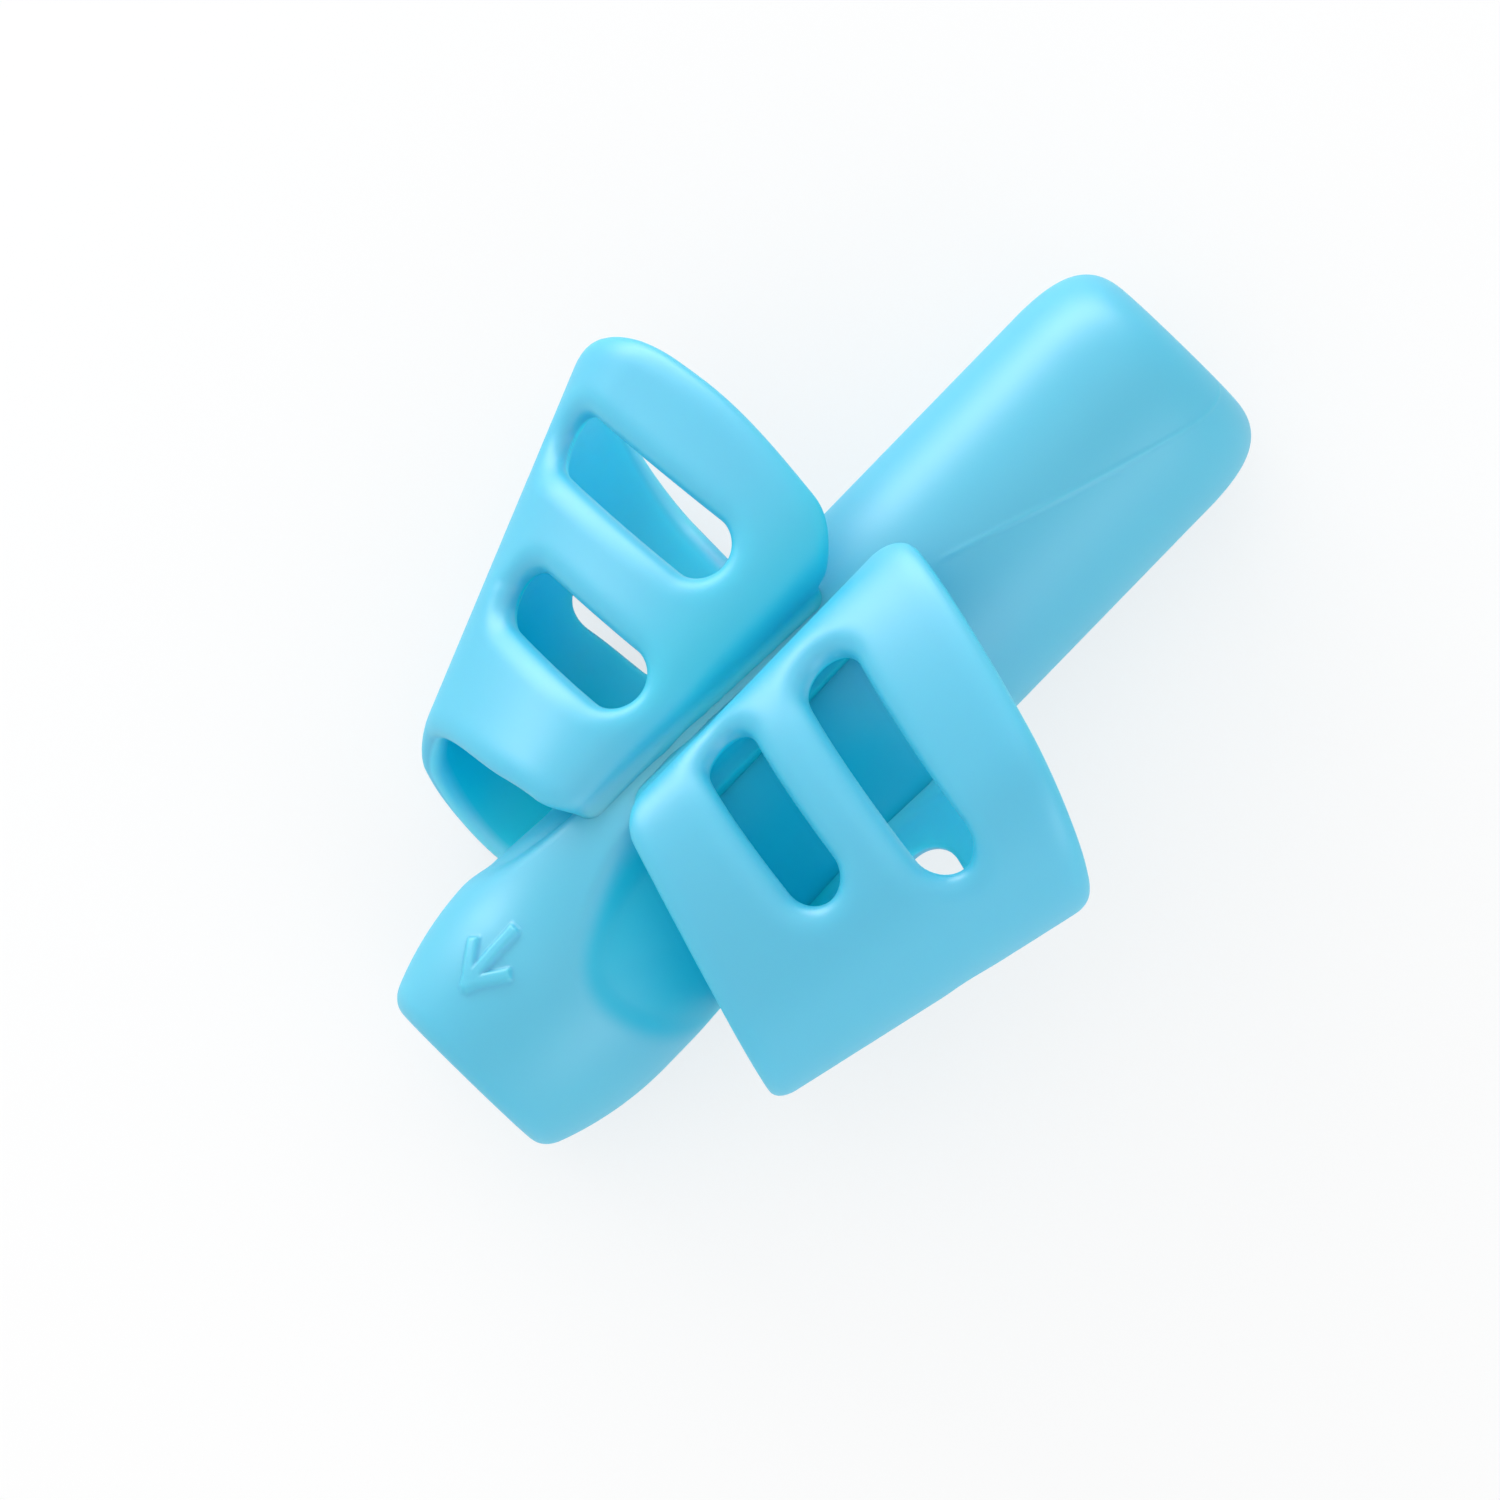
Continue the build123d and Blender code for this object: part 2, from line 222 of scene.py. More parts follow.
def put_mesh(name, points, faces, shares, material):
    """A smooth-shaded object at the origin with these points and faces, and each point's tone and gloss.

    The silicone's tone at a point is the skin's, mixed in turn with painted shade on a wall's inside,
    with painted light on an inside where daylight would come in, and with painted shade on a covered
    place, by the point's three shares. The gloss, and with it the white reflection, is turned down in
    the painted shade.
    """
    inside, painted_light, covered_shade = (np.reshape(share, (-1, 1)) for share in shares)
    # painted shade, then painted light, then painted shade again, mixed over the silicone's own colour
    tone = SKIN_COLOR + inside * (INSIDE_SHADE_COLOR - SKIN_COLOR)
    tone = tone + painted_light * (PAINTED_LIGHT_COLOR - tone)
    tone = tone + covered_shade * (COVERED_SHADE_COLOR - tone)
    # the white reflection is turned down where the shade is painted
    gloss = 1 - (1 - SHADE_GLOSS) * np.maximum(inside, covered_shade)
    mesh = bpy.data.meshes.new(name)
    mesh.from_pydata(points.reshape(-1, 3).tolist(), [], np.asarray(faces).tolist())
    mesh.polygons.foreach_set("use_smooth", np.ones(len(mesh.polygons), bool))
    tone = np.concatenate([tone, np.ones((len(tone), 1))], axis=1)
    mesh.attributes.new("tone", "FLOAT_COLOR", "POINT").data.foreach_set("color", tone.ravel())
    mesh.attributes.new("gloss", "FLOAT", "POINT").data.foreach_set("value", gloss.ravel())
    mesh.materials.append(material)
    mesh.update()
    piece = bpy.data.objects.new(name, mesh)
    bpy.context.scene.collection.objects.link(piece)
    return piece


silicone = bpy.data.materials.new("silicone")
silicone.use_nodes = True
nodes, links = silicone.node_tree.nodes, silicone.node_tree.links
skin = nodes["Principled BSDF"]
skin.inputs["IOR"].default_value = 1.65
skin.inputs["Subsurface Weight"].default_value = 0.6
skin.inputs["Subsurface Radius"].default_value = (0.2, 0.8, 1.0)
skin.inputs["Subsurface Scale"].default_value = 0.0022
place = nodes.new("ShaderNodeTexCoord")
cloud = nodes.new("ShaderNodeTexNoise")
cloud.inputs["Scale"].default_value = 90.0
cloud.inputs["Detail"].default_value = 3.0
# the tone attribute carries the silicone's colour with the painted light and painted shade mixed in
tone = nodes.new("ShaderNodeAttribute")
tone.attribute_name = "tone"
tint = nodes.new("ShaderNodeMix")
tint.data_type = "RGBA"
tint.blend_type = "MULTIPLY"
tint.inputs["B"].default_value = (0.86, 0.96, 0.975, 1)
# the gloss attribute turns the white reflection down in the painted shade
gloss = nodes.new("ShaderNodeAttribute")
gloss.attribute_name = "gloss"
dull = nodes.new("ShaderNodeMapRange")
dull.inputs["To Min"].default_value = 0.44
dull.inputs["To Max"].default_value = 0.52
grain = nodes.new("ShaderNodeTexNoise")
grain.inputs["Scale"].default_value = 9000.0
grain.inputs["Detail"].default_value = 2.0
bump = nodes.new("ShaderNodeBump")
bump.inputs["Strength"].default_value = 0.08
bump.inputs["Distance"].default_value = 0.00002
links.new(place.outputs["Object"], cloud.inputs["Vector"])
links.new(cloud.outputs["Fac"], tint.inputs["Factor"])
links.new(tone.outputs["Color"], tint.inputs["A"])
links.new(tint.outputs["Result"], skin.inputs["Base Color"])
links.new(gloss.outputs["Fac"], skin.inputs["Specular IOR Level"])
links.new(cloud.outputs["Fac"], dull.inputs["Value"])
links.new(dull.outputs["Result"], skin.inputs["Roughness"])
links.new(place.outputs["Object"], grain.inputs["Vector"])
links.new(grain.outputs["Fac"], bump.inputs["Height"])
links.new(bump.outputs["Normal"], skin.inputs["Normal"])

# columns close together over the top, where the marks are, and wider apart underneath
TOP_TURN = 72.0
TOP_STEP = 0.9
BELOW_COUNT = 74
top = np.arange(-TOP_TURN, TOP_TURN + TOP_STEP / 2, TOP_STEP)
below = np.linspace(TOP_TURN, 360 - TOP_TURN, BELOW_COUNT)[1:-1]
turns = np.concatenate([top, below])
# rows: outside from the nose cap to the tail cap, tail lip, bore, nose lip
NOSE_CAP_ROWS = 14
TAIL_CAP_ROWS = 34
LIP_ROWS = 7
BORE_ROWS = 12
OUTSIDE_ROWS = ((1.1, 2.5, 0.14), (2.5, 15.0, 0.11), (15.0, 34.0, 0.28), (34.0, 46.5, 0.15))
nose_cap = bezier(NOSE_CAP, NOSE_CAP_ROWS)[::-1]
tail_cap = bezier(TAIL_CAP, TAIL_CAP_ROWS)
outside_x = np.concatenate([np.arange(*stretch) for stretch in OUTSIDE_ROWS])
lip = np.linspace(0, np.pi / 2, LIP_ROWS)
lip_sin, lip_cos = BORE_LIP * (1 - np.sin(lip)), BORE_LIP * (1 - np.cos(lip))
bore_x = np.linspace(LENGTH - BORE_LIP, BORE_LIP, BORE_ROWS)[1:-1]
row_x = np.concatenate([
    nose_cap[:, 0], outside_x, tail_cap[:, 0],
    LENGTH - lip_cos, bore_x, lip_sin,
])
row_r = np.concatenate([
    nose_cap[:, 1], np.zeros(len(outside_x)), tail_cap[:, 1],
    BORE_R + lip_sin, np.full(len(bore_x), BORE_R), BORE_R + lip_cos,
])
grid_x, grid_turn = np.meshgrid(row_x, (turns + 180) % 360 - 180, indexing="ij")
grid_r = np.repeat(row_r[:, None], len(turns), axis=1)
first, last = len(nose_cap), len(nose_cap) + len(outside_x)
grid_r[first:last] = barrel_radius(grid_x[first:last], grid_turn[first:last])
marked = slice(first, last + len(tail_cap))
grid_r[marked] += barrel_marks(grid_x[marked], grid_turn[marked])
grid_angle = np.radians(grid_turn)
barrel_points = np.stack([grid_x, grid_r * np.sin(grid_angle), grid_r * np.cos(grid_angle)], axis=-1)


def closed_grid(rows, columns):
    """Faces of a grid that closes on itself both ways: each cell's corners, taken round by one."""
    corner = np.arange(rows * columns).reshape(rows, columns)
    ahead = np.roll(corner, -1, axis=0)
    cells = (corner, np.roll(corner, -1, axis=1), np.roll(ahead, -1, axis=1), ahead)
    return np.stack(cells, axis=-1).reshape(-1, 4)


# the painted shade: a deeper tone and less gloss on the pads under the sleeves, where their shade falls,
# and all along the bore
covered_shade = ease(pad_depth_in(grid_x, grid_turn) / COVER_EDGE_WIDTH + PAD_EDGE_START)
under_thumb = COVER_FIRST + (1 - COVER_FIRST) * ease((grid_x - COVER_X[0]) / (COVER_X[1] - COVER_X[0]))
under_index = ease((grid_x - COVER_INDEX_X[0]) / (COVER_INDEX_X[1] - COVER_INDEX_X[0]))
covered_shade *= np.where(grid_turn > 0, under_index, under_thumb)
covered_shade *= 1 - ease((grid_x - COVER_X[2]) / (COVER_X[3] - COVER_X[2]))
cover_turn = np.interp(grid_x, COVER_TURN_X, COVER_TURN)
covered_shade *= 1 - ease((np.abs(grid_turn) - cover_turn) / COVER_TURN_FADE)
covered_shade[grid_r <= BORE_R + BORE_LIP / 2] = 1
barrel_shares = (0 * covered_shade, 0 * covered_shade, covered_shade)
barrel_faces = closed_grid(*grid_x.shape)
barrel = put_mesh("grip_barrel", laid(barrel_points), barrel_faces, barrel_shares, silicone)
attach(barrel, "barrel")
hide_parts("barrel")


# The index finger's sleeve: an even silicone wall that rises beside the spine, arches over as a roof,
# turns round the fingertip and comes back under it to the barrel. It widens to the tail. Both rims and
# the round-ended vents have rolled edges, and the wall's feet flare into the barrel they are moulded to.
HALF_WALL = 0.7
FOOT_Y = 1.4
FOOT_Z = (4.6, 7.8)
FOOT_R = 4.8
ARCH_RISE = 3.0
ARCH_LEAN = 0.42
ARCH_DROP = np.radians(10.0)
CREST = (2.9, 8.4)
CREST_R = 1.5
STATION_X = (8.0, 36.0)
TIP_Y = (8.5, 15.8)
TIP_Z = (1.1, 5.5)
TIP_R = (4.65, 7.13)
CORNER = 1.8
CORNER_TURN = (0.8, 1.3)
VENT_LEAN = np.radians(12.0)
FOOT_FILLET = 0.55
EDGE_REACH = 1.15
EDGE_POWER = 2.2
VENT_REACH = (1.45, 0.35)
VENT_LIP = 0.35
# where the painted shade of the wall's inside starts past the rims, the painted light on the rims'
# rolled bands and on the inside toward the tail, the painted shade on the inside near the feet, and the
# painted shade in the crease down to the spine
RIM_INSIDE = (0.35, 0.95)
RIM_PAINTED_LIGHT = 0.7
RIM_PAINTED_LIGHT_U = (10.0, 16.0, 33.0, 36.0)
PAINTED_LIGHT_U = (10.0, 16.0)
PAINTED_LIGHT_V = (7.0, 13.0)
COVERED_SHADE_U = (14.0, 6.0)
CREASE_U = (12.0, 3.0)
CREASE_V = (1.5, 10.0)
SMALL = 1e-3
SHEET_U = (0.0, 3.2, 17.5, 33.5, 41.0)
SHEET_V = 18.5
CELL = 0.3
SHEET_ROWS = ((0.0, 3.2, 0.1), (3.2, 17.5, 0.26), (17.5, 33.5, 0.28), (33.5, 36.5, 0.2))
UNDER_FOOT_ROWS = (36.5, 41.0, 76)
BETWEEN_ROWS = 56
RIM_ROWS = 8
RIM_GAP = 0.25
RING_ROWS = 10
RING_GAP = 0.2
FREE_GAP = 0.15
END_ROWS = 27
TRY_ROWS = (90, 60)
RIM_STEPS = 14
NEWTON_STEPS = 20
ROOF_U = (3.2, 29.0)
UNDER_U = (26.0, 41.0)
TWIST_FROM = (7.0, 4.0)
# each rim's x, lean, sweep and twist, and how far it is moved where the roof turns down, with the knots
INDEX_RIMS = (
    (10.4, 0.25, 0.10, 0.0, 0.75, (1.5, 2.0, 2.08, 2.32)),
    (28.45, 0.43, 0.03, 0.010, 0.55, (1.3, 1.8, 1.9, 2.25)),
)
INDEX_SWEEP = np.radians(4.5)
# how much painted shade lies in the sleeve's crease down to the spine
INDEX_CREASE_SHADE = 0.6
# each vent's middle, length, width and the stretch of the sheet that it lies on
INDEX_VENTS = (
    ((26.6, 10.6, 10.6), 12.9, 3.3, ROOF_U),
    ((19.0, 8.1, 10.6), 10.6, 3.3, ROOF_U),
    ((22.3, 12.1, -2.6), 7.2, 3.3, UNDER_U),
)


def wall_point(turn, x):
    """Point of the wall's middle surface. The whole part of turn picks a stretch of the section at x.

    The stretches are the foot beside the spine, the arch of the roof, the tip's arc and the
    underside. The arch is a cubic that leaves the foot upright and meets the tip's arc a little past
    the place where a line over the crest would touch it.
    """
    share = (x - STATION_X[0]) / (STATION_X[1] - STATION_X[0])
    tip_y = TIP_Y[0] + share * (TIP_Y[1] - TIP_Y[0])
    tip_z = TIP_Z[0] + share * (TIP_Z[1] - TIP_Z[0])
    tip_r = TIP_R[0] + share * (TIP_R[1] - TIP_R[0]) - HALF_WALL
    dy, dz = tip_y - CREST[0], tip_z - CREST[1]
    meet = np.arctan2(dz, dy) + np.arccos((CREST_R - tip_r) / np.hypot(dy, dz)) - ARCH_DROP
    part = np.clip(turn[..., None] - np.arange(4), 0, 1)
    on_foot = (FOOT_Y + 0 * x, FOOT_Z[0] + part[..., 0] * (FOOT_Z[1] - FOOT_Z[0]))
    meet_y, meet_z = tip_y + tip_r * np.cos(meet), tip_z + tip_r * np.sin(meet)
    handle = ARCH_LEAN * np.hypot(meet_y - FOOT_Y, meet_z - FOOT_Z[1])
    t = part[..., 1]
    start, rise, lean, end = (1 - t) ** 3, 3 * t * (1 - t) ** 2, 3 * t ** 2 * (1 - t), t ** 3
    lean_y, lean_z = meet_y - handle * np.sin(meet), meet_z + handle * np.cos(meet)
    on_arch = (
        FOOT_Y * (start + rise) + lean_y * lean + meet_y * end,
        FOOT_Z[1] * (start + rise) + ARCH_RISE * rise + lean_z * lean + meet_z * end,
    )
    tip_turn = meet - part[..., 2] * (meet + np.pi / 2)
    on_tip = (tip_y + tip_r * np.cos(tip_turn), tip_z + tip_r * np.sin(tip_turn))
    under_z = tip_z - tip_r
    foot_y = np.sqrt(np.maximum(FOOT_R ** 2 - under_z ** 2, 1.0))
    on_under = (tip_y + part[..., 3] * (foot_y - tip_y), under_z)
    which = np.clip(turn.astype(int), 0, 3)
    y = np.choose(which, [s[0] for s in (on_foot, on_arch, on_tip, on_under)])
    z = np.choose(which, [s[1] for s in (on_foot, on_arch, on_tip, on_under)])
    return np.stack([x, y, z], axis=-1)


def rim_x(turn, rim, corner):
    """X where the wall meets a rim's sloping, twisted plane, found by stepping to it again and again.

    Beside the spine the rim is drawn in by the corner's amount, and where the roof turns down to
    the tip it is moved to the tail by the rim's own, with smooth steps.
    """
    at_x, lean, sweep, twist, moved, knots = rim
    pull = corner * (1 - ease((turn - CORNER_TURN[0]) / (CORNER_TURN[1] - CORNER_TURN[0])))
    pull = pull + moved * rise_and_fall(turn, knots)
    x = np.full(turn.shape, at_x)
    for _ in range(RIM_STEPS):
        _, y, z = np.moveaxis(wall_point(turn, x), -1, 0)
        x = at_x + lean * z - sweep * y + pull
        x = x - twist * (y - TWIST_FROM[0]) * (z - TWIST_FROM[1])
    return x


def sheet_point(u, v, rims):
    """Point of the wall's middle surface from its flattened sheet.

    On the sheet u runs round the finger, through the section's four stretches, and v from rim to rim.
    """
    turn = np.interp(u, SHEET_U, np.arange(len(SHEET_U)))
    turn = np.minimum(turn, 3.999999)
    nose, tail = rim_x(turn, rims[0], CORNER), rim_x(turn, rims[1], -CORNER)
    return wall_point(turn, nose + v / SHEET_V * (tail - nose))


def sheet_slopes(u, v, rims):
    """How the sheet's point moves with u and with v, from two points close by on each line."""
    by_u = sheet_point(u + SMALL, v, rims) - sheet_point(u - SMALL, v, rims)
    by_v = sheet_point(u, v + SMALL, rims) - sheet_point(u, v - SMALL, rims)
    return by_u / (2 * SMALL), by_v / (2 * SMALL)


def vent_rings(rims, sweep, vent, steps):
    """Rings round a vent on the sheet, one for each step out from its edge: u and v of every ring point.

    The edge is a round-ended slot in a plane at right angles to the mould's pull, and Newton's steps,
    with the sheet's own slopes, find the place on the sheet that lies over it. The rings then step
    out from the edge at right angles to it, along the sheet.
    """
    origin, length, width, u_range = vent
    pull = np.array([-np.sin(VENT_LEAN), 0, np.cos(VENT_LEAN)])
    level = np.array([np.cos(VENT_LEAN), 0, np.sin(VENT_LEAN)])
    run = np.array([0, np.cos(sweep), 0]) - np.sin(sweep) * level
    across = np.cross(pull, run)
    straight = (length - width) / 2
    side = np.linspace(-1, 1, int(2 * straight / CELL) + 2)[:-1]
    bend = np.linspace(-np.pi / 2, np.pi / 2, END_ROWS)[:-1]
    ends = np.full(len(bend), straight)
    middle = np.concatenate([ends, -straight * side, -ends, straight * side])
    angle = np.concatenate([bend, 0 * side + np.pi / 2, bend + np.pi, 0 * side - np.pi / 2])
    want_run = middle + width / 2 * np.cos(angle)
    want_across = width / 2 * np.sin(angle)
    try_u, try_v = np.meshgrid(np.linspace(*u_range, TRY_ROWS[0]), np.linspace(0, SHEET_V, TRY_ROWS[1]))
    try_u, try_v = try_u.ravel(), try_v.ravel()
    near = sheet_point(try_u, try_v, rims) - origin
    miss = (near @ run - want_run[:, None]) ** 2 + (near @ across - want_across[:, None]) ** 2
    u, v = try_u[miss.argmin(axis=1)], try_v[miss.argmin(axis=1)]
    for _ in range(NEWTON_STEPS):
        here = sheet_point(u, v, rims) - origin
        by_u, by_v = sheet_slopes(u, v, rims)
        off_run, off_across = want_run - here @ run, want_across - here @ across
        a, b, c, d = by_u @ run, by_v @ run, by_u @ across, by_v @ across
        u = u + np.clip((off_run * d - off_across * b) / (a * d - b * c), -CELL, CELL)
        v = v + np.clip((off_across * a - off_run * c) / (a * d - b * c), -CELL, CELL)
    here = sheet_point(u, v, rims)
    by_u, by_v = sheet_slopes(u, v, rims)
    along = np.roll(here, -1, axis=0) - np.roll(here, 1, axis=0)
    out = np.cross(along, np.cross(by_u, by_v))
    out /= np.linalg.norm(out, axis=1, keepdims=True)
    out *= np.sign((out * (here - here.mean(axis=0))).sum())
    uu, uv, vv = (by_u * by_u).sum(1), (by_u * by_v).sum(1), (by_v * by_v).sum(1)
    ou, ov = (out * by_u).sum(1), (out * by_v).sum(1)
    area = uu * vv - uv ** 2
    step_u, step_v = (ou * vv - ov * uv) / area, (ov * uu - ou * uv) / area
    steps = np.asarray(steps)[:, None]
    return u + steps * step_u, v + steps * step_v


def rounded(distance, reach):
    """Share of a wall's rounding at a distance from a free edge: a quarter of a superellipse, then 1."""
    inward = np.clip(1 - distance / reach, 0, 1)
    return (1 - inward ** EDGE_POWER) ** (1 / EDGE_POWER)


def sleeve_wall(rims, sweep, vents, crease_shade_share):
    """Points, faces and tone shares of a whole wall on the index side, in level millimetres.

    Rings round the vents and rows between the rims are joined into triangles by Delaunay's rule on
    the flattened sheet, without those inside a vent. Two copies of the sheet then stand off to either
    side by half the wall, less at the free edges and more at the feet, and share the edges' points.
    At a vent the outer side rolls in to a lip near the inner one. The outer side gets the inside's tone
    as painted shade, by the crease's share where it goes down to the spine, less so to the nose. The
    inner side gets painted shade, painted light toward the tail and on the rims' rolled bands, and more
    painted shade near the feet.
    """
    edge_steps = EDGE_REACH * (1 - np.cos(np.linspace(0, np.pi / 2, RIM_ROWS)))
    edge_steps = np.append(edge_steps, EDGE_REACH + RIM_GAP)
    inner_v = np.linspace(edge_steps[-1], SHEET_V - edge_steps[-1], BETWEEN_ROWS)[1:-1]
    rows_v = np.concatenate([edge_steps, inner_v, SHEET_V - edge_steps[::-1]])
    rows_u = [np.arange(*stretch) for stretch in SHEET_ROWS]
    rows_u = np.concatenate(rows_u + [np.linspace(*UNDER_FOOT_ROWS)])
    ring_steps = VENT_REACH[0] * (1 - np.cos(np.linspace(0, np.pi / 2, RING_ROWS)))
    ring_steps = np.append(ring_steps, VENT_REACH[0] + RING_GAP)
    grid_u, grid_v = (g.ravel() for g in np.meshgrid(rows_u, rows_v))
    free = np.ones(len(grid_u), bool)
    u, v, edge, ring_of = [], [], [], []
    for number, vent in enumerate(vents):
        ring_u, ring_v = vent_rings(rims, sweep, vent, ring_steps)
        u.append(ring_u.ravel())
        v.append(ring_v.ravel())
        edge.append(np.repeat(ring_steps, ring_u.shape[1]))
        ring_of.append(np.repeat(np.where(ring_steps == 0, number, -1), ring_u.shape[1]))
        off_u, off_v = grid_u[:, None] - ring_u[0], grid_v[:, None] - ring_v[0]
        turned = np.arctan2(off_v, off_u)
        round_it = np.diff(turned, axis=1, append=turned[:, :1])
        inside = np.abs(((round_it + np.pi) % (2 * np.pi) - np.pi).sum(axis=1)) > np.pi
        free &= ~inside & (np.hypot(off_u, off_v).min(axis=1) > ring_steps[-1] + FREE_GAP)
    u = np.concatenate(u + [grid_u[free]])
    v = np.concatenate(v + [grid_v[free]])
    edge = np.concatenate(edge + [np.minimum(grid_v, SHEET_V - grid_v)[free]])
    ring_of = np.concatenate(ring_of + [np.full(free.sum(), -1)])
    flat = np.stack([u, v], axis=1).tolist()
    _, _, flat_faces, came_from, _, _ = delaunay_2d_cdt(flat, [], [], 0, 1e-6)
    triangles = np.concatenate(came_from)[np.array(flat_faces)]
    corner_ring = ring_of[triangles]
    hole = (corner_ring[:, 0] >= 0) & (corner_ring == corner_ring[:, :1]).all(axis=1)
    foot = np.minimum(u, SHEET_U[-1] - u)
    shared = np.minimum(edge, foot) < 1e-9
    triangles = triangles[~hole & ~shared[triangles].all(axis=1)]
    middle = sheet_point(u, v, rims)
    by_u, by_v = sheet_slopes(u, v, rims)
    outward = np.cross(by_v, by_u)
    outward /= np.linalg.norm(outward, axis=1, keepdims=True)
    at_vent = np.arange(len(u)) < len(u) - free.sum()
    plain = HALF_WALL * rounded(np.minimum(edge, foot), EDGE_REACH)
    sides = []
    for sign, reach in zip((1, -1), VENT_REACH):
        lip = -sign * VENT_LIP
        half = np.where(at_vent, lip + (HALF_WALL - lip) * rounded(edge, reach), plain)
        at = middle + sign * outward * half[:, None]
        turn = np.degrees(np.arctan2(at[:, 1], at[:, 2]))
        height = np.hypot(at[:, 1], at[:, 2]) - barrel_radius(at[:, 0], turn)
        low = FOOT_FILLET - np.clip(height, 0, FOOT_FILLET)
        flare = low ** 2 / FOOT_FILLET
        sides.append(at + sign * outward * (flare * plain / HALF_WALL)[:, None])
    partner = np.where(shared, np.arange(len(middle)), np.arange(len(middle)) + len(middle))
    points = np.concatenate(sides)
    faces = np.concatenate([triangles[:, ::-1], partner[triangles]])
    # the tone shares: painted shade on the inner side and the vents' walls, painted light on the inner
    # side toward the tail and on the rims' bands, painted shade on the inner side near the feet, and
    # painted shade in the outer side's crease by the spine
    past_rim = ease((edge - RIM_INSIDE[0]) / (RIM_INSIDE[1] - RIM_INSIDE[0]))
    inside = np.where(at_vent, edge > 0, past_rim)
    painted_light = inside * ease((u - PAINTED_LIGHT_U[0]) / (PAINTED_LIGHT_U[1] - PAINTED_LIGHT_U[0]))
    painted_light = painted_light * ease((v - PAINTED_LIGHT_V[0]) / (PAINTED_LIGHT_V[1] - PAINTED_LIGHT_V[0]))
    rim_painted_light = RIM_PAINTED_LIGHT * (1 - inside) * rise_and_fall(u, RIM_PAINTED_LIGHT_U)
    painted_light = np.maximum(painted_light, np.where(at_vent, 0, rim_painted_light))
    covered_shade = inside * ease((u - COVERED_SHADE_U[0]) / (COVERED_SHADE_U[1] - COVERED_SHADE_U[0]))
    crease_shade = crease_shade_share * ease((u - CREASE_U[0]) / (CREASE_U[1] - CREASE_U[0]))
    crease_shade = crease_shade * ease((v - CREASE_V[0]) / (CREASE_V[1] - CREASE_V[0]))
    none = np.zeros(len(u))
    used, faces = np.unique(faces, return_inverse=True)
    outer_and_inner = ((crease_shade, inside), (none, painted_light), (none, covered_shade))
    shares = [np.concatenate(pair)[used] for pair in outer_and_inner]
    return points[used], faces.reshape(-1, 3), shares


index_points, index_faces, index_shares = sleeve_wall(INDEX_RIMS, INDEX_SWEEP, INDEX_VENTS, INDEX_CREASE_SHADE)
index_wall = put_mesh("index_wall", laid(index_points), index_faces, index_shares, silicone)
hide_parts("index_sleeve")
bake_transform(index_wall)


# The thumb's sleeve: the same kind of wall, moulded to the barrel on the other side of the spine. It is
# set farther back than the index sleeve, with more sweep in its rims and vents. Its points are found on
# the index side and then mirrored across the spine.
ACROSS = np.array([1.0, -1.0, 1.0])
THUMB_RIMS = (
    (13.85, 0.13, 0.29, 0.0, 0.0, (1.5, 2.05, 2.1, 2.35)),
    (31.55, 0.35, 0.215, 0.004, 0.0, (1.3, 1.8, 1.9, 2.25)),
)
THUMB_SWEEP = np.radians(12.8)
THUMB_CREASE_SHADE = 0.0
THUMB_VENTS = (
    ((25.5, 10.1, 10.6), 13.2, 3.3, ROOF_U),
    ((19.5, 7.3, 10.6), 10.2, 3.0, ROOF_U),
    ((22.95, 12.5, -2.6), 7.5, 3.3, UNDER_U),
)
thumb_points, thumb_faces, thumb_shares = sleeve_wall(THUMB_RIMS, THUMB_SWEEP, THUMB_VENTS, THUMB_CREASE_SHADE)
thumb_points = laid(thumb_points * ACROSS)
thumb_faces = thumb_faces[:, ::-1]
thumb_wall = put_mesh("thumb_wall", thumb_points, thumb_faces, thumb_shares, silicone)
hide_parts("thumb_sleeve")
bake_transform(thumb_wall)


# Studio: a white floor that keeps a soft shadow, a bright even sky and three large lamps, seen from
# almost straight above through a long lens, with the bore running up to the right.
FLOOR_SIZE = 1.2
FLOOR_COLOR = (0.9, 0.9, 0.9, 1)
floor_z = cad_low.z
floor_mesh = bpy.data.meshes.new("floor")
square = FLOOR_SIZE / 2 * np.array([(-1, -1, 0), (1, -1, 0), (1, 1, 0), (-1, 1, 0)])
square[:, 2] = floor_z
floor_mesh.from_pydata(square.tolist(), [], [(0, 1, 2, 3)])
floor = bpy.data.objects.new("floor", floor_mesh)
bpy.context.scene.collection.objects.link(floor)
white = bpy.data.materials.new("floor_white")
white.use_nodes = True
nodes, links = white.node_tree.nodes, white.node_tree.links
paper = nodes["Principled BSDF"]
paper.inputs["Base Color"].default_value = FLOOR_COLOR
paper.inputs["Roughness"].default_value = 0.9
glow = nodes.new("ShaderNodeEmission")
glow.inputs["Color"].default_value = (1, 1, 1, 1)
glow.inputs["Strength"].default_value = 1.0
ray = nodes.new("ShaderNodeLightPath")
seen = nodes.new("ShaderNodeMath")
seen.operation = "MAXIMUM"
seen_more = nodes.new("ShaderNodeMath")
seen_more.operation = "MAXIMUM"
share = nodes.new("ShaderNodeMath")
share.operation = "MULTIPLY"
share.inputs[1].default_value = 0.7
mix = nodes.new("ShaderNodeMixShader")
links.new(ray.outputs["Is Camera Ray"], seen.inputs[0])
links.new(ray.outputs["Is Glossy Ray"], seen.inputs[1])
links.new(seen.outputs[0], seen_more.inputs[0])
links.new(ray.outputs["Is Transmission Ray"], seen_more.inputs[1])
links.new(seen_more.outputs[0], share.inputs[0])
links.new(share.outputs[0], mix.inputs[0])
links.new(paper.outputs[0], mix.inputs[1])
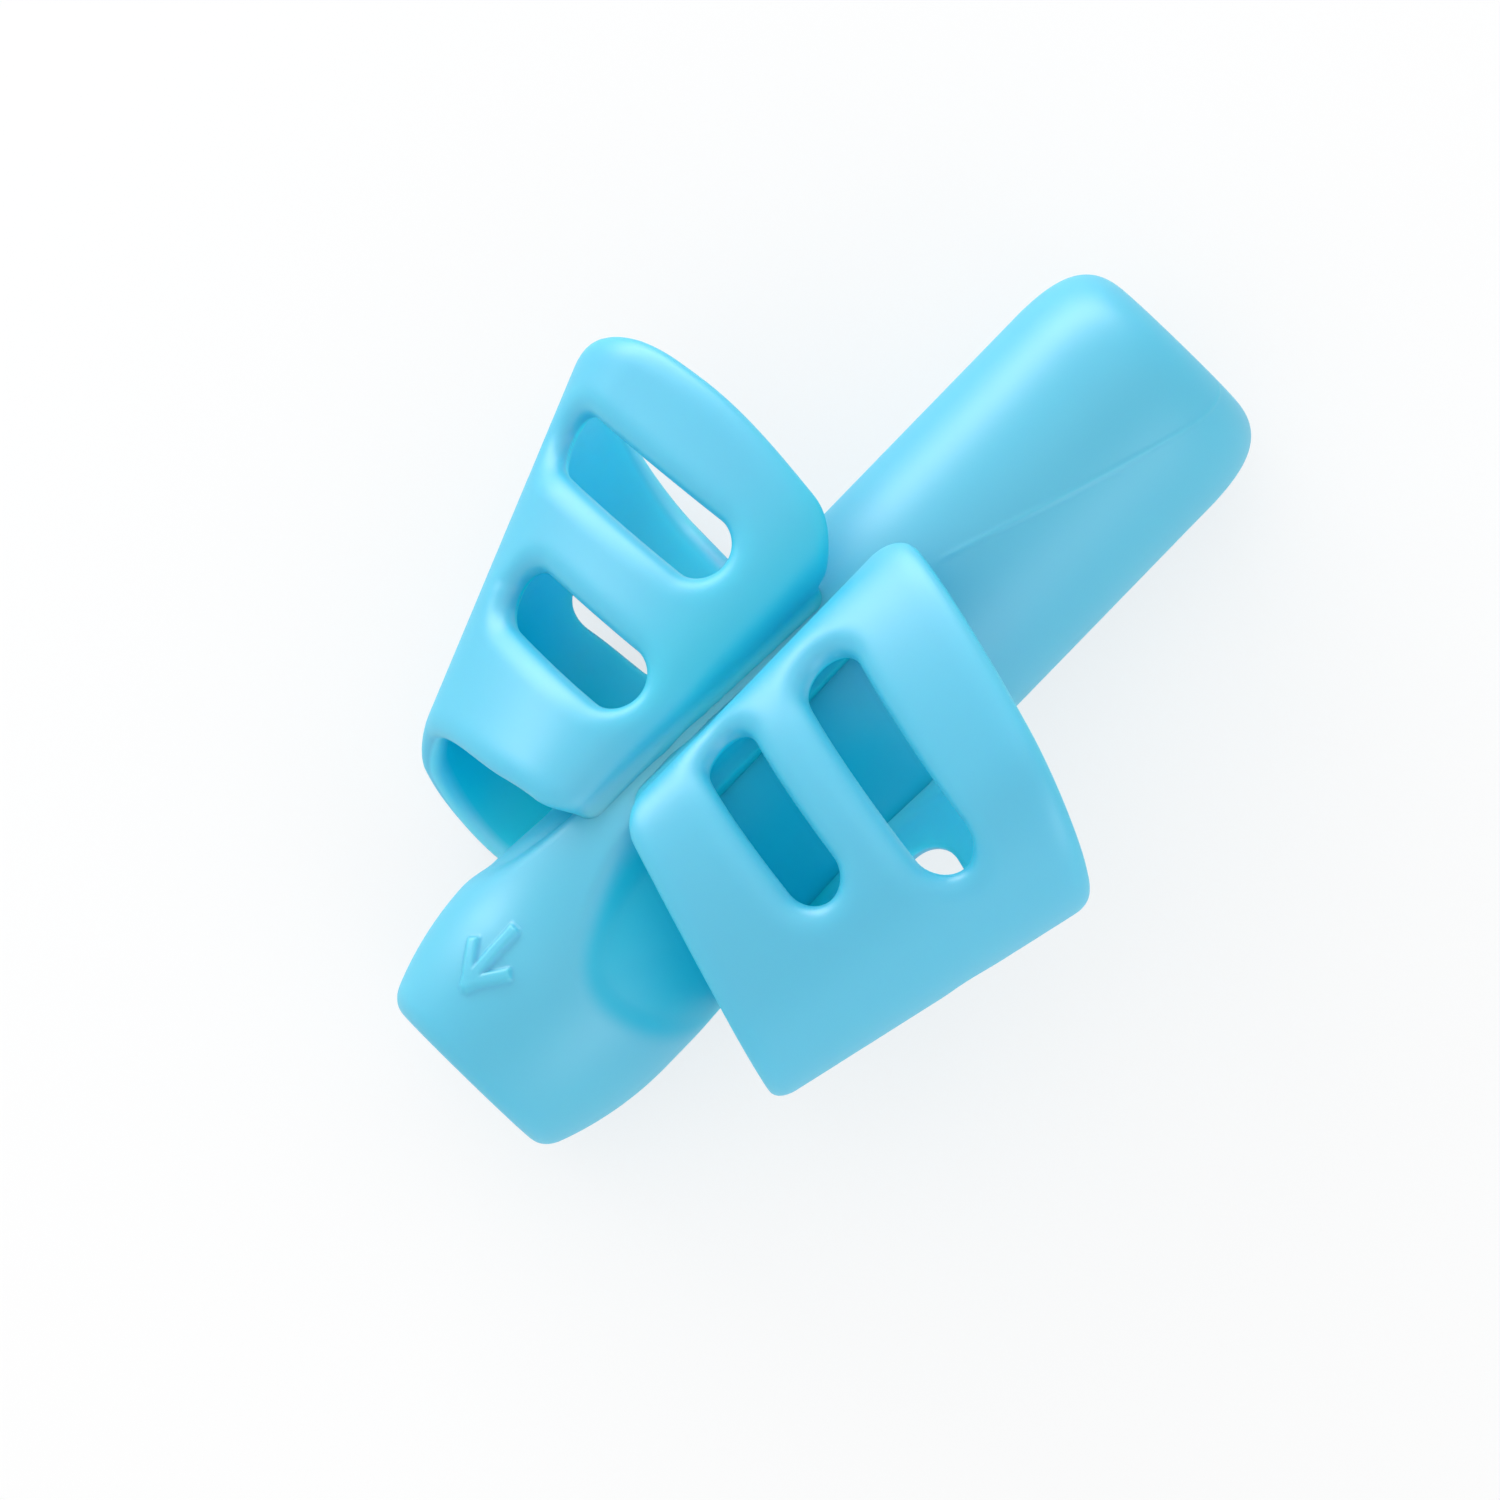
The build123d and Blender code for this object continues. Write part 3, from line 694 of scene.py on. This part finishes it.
links.new(glow.outputs[0], mix.inputs[2])
links.new(mix.outputs[0], nodes["Material Output"].inputs["Surface"])
floor_mesh.materials.append(white)

sky = bpy.data.worlds.new("sky")
sky.use_nodes = True
sky.node_tree.nodes["Background"].inputs["Color"].default_value = (1, 1, 1, 1)
sky.node_tree.nodes["Background"].inputs["Strength"].default_value = 0.88
bpy.context.scene.world = sky

LOOK_AT = Vector((0.02156, 0.001208, 0.000234))
LAMPS = (
    ("lamp_left", (0.12, 0.42, 0.09), (0.50, 0.16), 1.35),
    ("lamp_high", (0.05, 0.10, 0.45), (0.30, 0.30), 0.1),
    ("lamp_right", (-0.05, -0.40, 0.20), (0.30, 0.30), 0.3),
)
for name, at, size, power in LAMPS:
    lamp = bpy.data.lights.new(name, "AREA")
    lamp.shape = "RECTANGLE"
    lamp.size, lamp.size_y = size
    lamp.energy = power
    holder = bpy.data.objects.new(name, lamp)
    holder.location = LOOK_AT + Vector(at)
    holder.rotation_euler = (-Vector(at)).to_track_quat("-Z", "Y").to_euler()
    bpy.context.scene.collection.objects.link(holder)

VIEW_TILT = np.radians(30.0) - ROLL
AXIS_ON_SCREEN = (0.697, 0.717)
CAMERA_DISTANCE = 0.9
FRAME_WIDTH = 0.075
along = Vector((1, 0, 0))
downhill = Vector((0, -np.cos(VIEW_TILT), -np.sin(VIEW_TILT)))
right = (AXIS_ON_SCREEN[0] * along + AXIS_ON_SCREEN[1] * downhill).normalized()
up = (AXIS_ON_SCREEN[1] * along - AXIS_ON_SCREEN[0] * downhill).normalized()
back = right.cross(up)
camera = bpy.data.cameras.new("camera")
camera.sensor_width = 36.0
camera.lens = camera.sensor_width * CAMERA_DISTANCE / FRAME_WIDTH
camera.clip_start, camera.clip_end = 0.05, 10.0
viewer = bpy.data.objects.new("camera", camera)
turned = Matrix((right, up, back)).transposed().to_4x4()
viewer.matrix_world = Matrix.Translation(LOOK_AT + CAMERA_DISTANCE * back) @ turned
bpy.context.scene.collection.objects.link(viewer)
bpy.context.scene.camera = viewer
